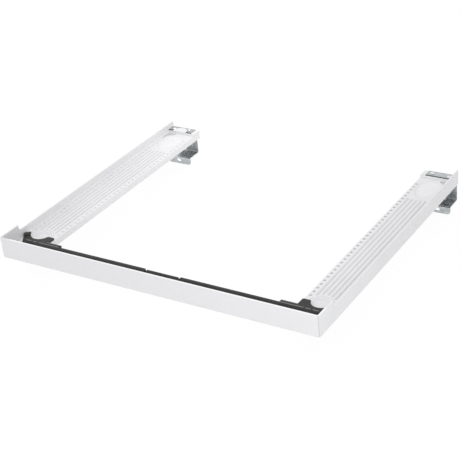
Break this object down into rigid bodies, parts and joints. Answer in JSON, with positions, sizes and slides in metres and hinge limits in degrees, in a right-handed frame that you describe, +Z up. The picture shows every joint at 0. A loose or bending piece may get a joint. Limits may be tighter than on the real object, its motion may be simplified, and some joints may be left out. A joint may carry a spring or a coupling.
{
  "type": "washer dryer stacking kit",
  "caption": "Open U-shaped frame that joins a tumble dryer to the washing machine under it: moulded side rails, front panel, black foot retainer and hooked steel rear brackets.",
  "frame": {"origin": "middle of the front panel's underside, on the plane that lies on the washer's worktop", "axes": "+X to the right seen from the front, +Y from the front panel to the rear brackets, +Z up"},
  "size_m": [0.597, 0.5237, 0.0842],
  "materials": {
    "panel": "satin white moulding",
    "rail": "fine matt white moulding",
    "black_plastic": "fine matt black moulding",
    "galvanised_steel": "hot-dip galvanised, spangled",
    "screw_zinc": "bright zinc plated",
    "adhesive_pad": "closed-cell foam with a tacky face"
  },
  "bodies": {
    "root": {"front_panel": "panel", "retainer_joiner": "black_plastic", "left_rail": "rail", "left_foot_retainer": "black_plastic", "left_rear_bracket": "galvanised_steel", "left_bracket_screw_inner": "screw_zinc", "left_bracket_screw_outer": "screw_zinc", "left_panel_screw_inner": "screw_zinc", "left_panel_screw_outer": "screw_zinc", "left_front_pad": "adhesive_pad", "left_rear_pad": "adhesive_pad", "right_rail": "rail", "right_foot_retainer": "black_plastic", "right_rear_bracket": "galvanised_steel", "right_bracket_screw_inner": "screw_zinc", "right_bracket_screw_outer": "screw_zinc", "right_panel_screw_inner": "screw_zinc", "right_panel_screw_outer": "screw_zinc", "right_front_pad": "adhesive_pad", "right_rear_pad": "adhesive_pad"}
  },
  "joints": []
}
